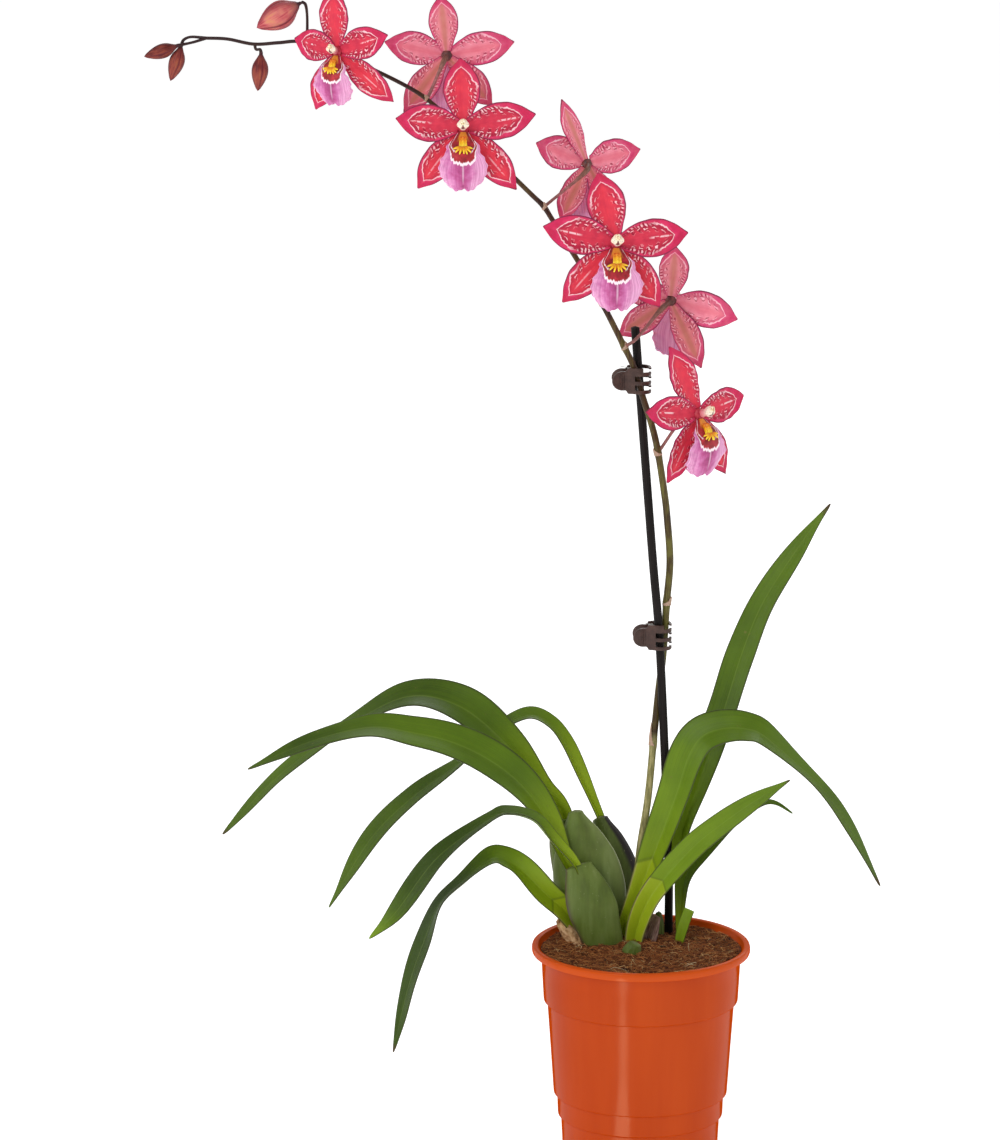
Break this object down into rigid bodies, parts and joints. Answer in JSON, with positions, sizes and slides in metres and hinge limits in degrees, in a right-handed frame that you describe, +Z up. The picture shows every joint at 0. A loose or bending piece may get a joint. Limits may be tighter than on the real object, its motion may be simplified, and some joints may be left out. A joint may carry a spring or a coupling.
{
  "type": "potted orchid",
  "caption": "Potted odontoglossum orchid: strap leaves and ribbed pseudobulbs in a nursery pot, with an arching spike of crimson and pink blooms clipped to a stake.",
  "frame": {"origin": "centre of the pot's flat underside", "axes": "+Z up; -Y is the side the picture looks at; +X to its right, so the spike arches towards -X"},
  "size_m": [0.3977, 0.1248, 0.6529],
  "materials": {
    "terracotta_plastic": "glossy injection-moulded",
    "coco_fibre": "matt, loose fibre",
    "bulb_green": "satin, ribbed",
    "bulb_dark": "satin, ribbed",
    "dry_husk": "matt, papery",
    "mauve_husk": "matt, papery",
    "leaf_green": "satin, fine lengthwise veins",
    "stem_olive": "satin",
    "bud_maroon": "satin",
    "crimson_petal": "velvety, patterned",
    "pink_lip": "velvety",
    "yellow_crest": "waxy",
    "cream_column": "waxy",
    "charcoal_stake": "matt, faintly ribbed",
    "brown_clip": "semi-gloss"
  },
  "bodies": {
    "plant": {"pot": "terracotta_plastic", "substrate": "coco_fibre", "bulb_front": "bulb_green", "bulb_tall": "bulb_green", "bulb_left": "bulb_green", "bulb_back": "bulb_dark", "bulb_stub_back": "bulb_green", "bulb_cut_front": "bulb_green", "bulb_dry_left": "dry_husk", "sheath_dry": "mauve_husk", "leaf_upper_left": "leaf_green", "leaf_mid_left": "leaf_green", "leaf_rear_left": "leaf_green", "leaf_low_left": "leaf_green", "leaf_drooping_left": "leaf_green", "leaf_tall_right": "leaf_green", "leaf_arching_right": "leaf_green", "leaf_low_right": "leaf_green", "leaf_back_right": "leaf_green", "leaf_stub": "leaf_green", "spike": "stem_olive", "bud_large": "bud_maroon", "bud_hanging": "bud_maroon", "bud_end_low": "bud_maroon", "bud_end": "bud_maroon", "bloom_1_tepals": "crimson_petal", "bloom_1_lip": "pink_lip", "bloom_1_crest": "yellow_crest", "bloom_1_column": "cream_column", "bloom_2_tepals": "crimson_petal", "bloom_2_lip": "pink_lip", "bloom_2_crest": "yellow_crest", "bloom_2_column": "cream_column", "bloom_3_tepals": "crimson_petal", "bloom_3_lip": "pink_lip", "bloom_3_crest": "yellow_crest", "bloom_3_column": "cream_column", "bloom_4_tepals": "crimson_petal", "bloom_4_lip": "pink_lip", "bloom_4_crest": "yellow_crest", "bloom_4_column": "cream_column", "bloom_5_tepals": "crimson_petal", "bloom_5_lip": "pink_lip", "bloom_5_crest": "yellow_crest", "bloom_5_column": "cream_column", "bloom_6_tepals": "crimson_petal", "bloom_6_lip": "pink_lip", "bloom_6_crest": "yellow_crest", "bloom_6_column": "cream_column", "bloom_7_tepals": "crimson_petal", "bloom_7_lip": "pink_lip", "bloom_7_crest": "yellow_crest", "bloom_7_column": "cream_column", "stake": "charcoal_stake", "clip_upper_back_jaw": "brown_clip", "clip_lower_back_jaw": "brown_clip"},
    "clip_upper_jaw": {"clip_upper_front_jaw": "brown_clip"},
    "clip_lower_jaw": {"clip_lower_front_jaw": "brown_clip"}
  },
  "joints": [
    {"name": "clip_upper_hinge", "type": "hinge", "parent": "plant", "child": "clip_upper_jaw", "pos_m": [-0.0074, 0.0125, 0.4378], "axis": [0, 0, -1], "range_deg": [0, 32], "stiffness_Nm_per_rad": 0.004, "springref_deg": -45.84},
    {"name": "clip_lower_hinge", "type": "hinge", "parent": "plant", "child": "clip_lower_jaw", "pos_m": [0.005, 0.0262, 0.2926], "axis": [0, 0, -1], "range_deg": [0, 32], "stiffness_Nm_per_rad": 0.004, "springref_deg": -45.84}
  ]
}
